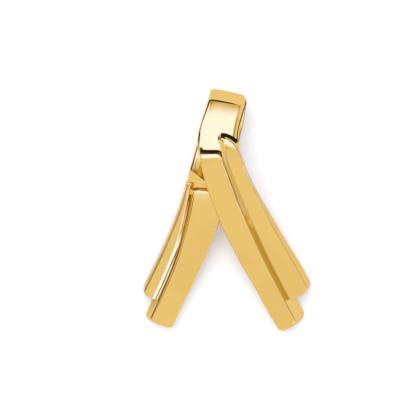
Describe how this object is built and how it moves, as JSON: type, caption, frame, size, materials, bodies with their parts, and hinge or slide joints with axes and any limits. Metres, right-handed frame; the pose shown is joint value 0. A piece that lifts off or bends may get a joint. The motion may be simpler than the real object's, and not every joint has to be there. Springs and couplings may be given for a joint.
{
  "type": "slide pendant",
  "caption": "Polished gold slide pendant: a ribbon folded over into a bail, whose ends cross and flare apart into grooved legs.",
  "frame": {"origin": "middle of the bounding box across and along, on the surface the pendant lies on", "axes": "+X across to the right seen from the front, +Y from the tips up to the bail, +Z from the back to the front"},
  "size_m": [0.0146, 0.021, 0.0061],
  "materials": {
    "gold": "polished yellow gold"
  },
  "bodies": {
    "root": {"slide": "gold"}
  },
  "joints": []
}
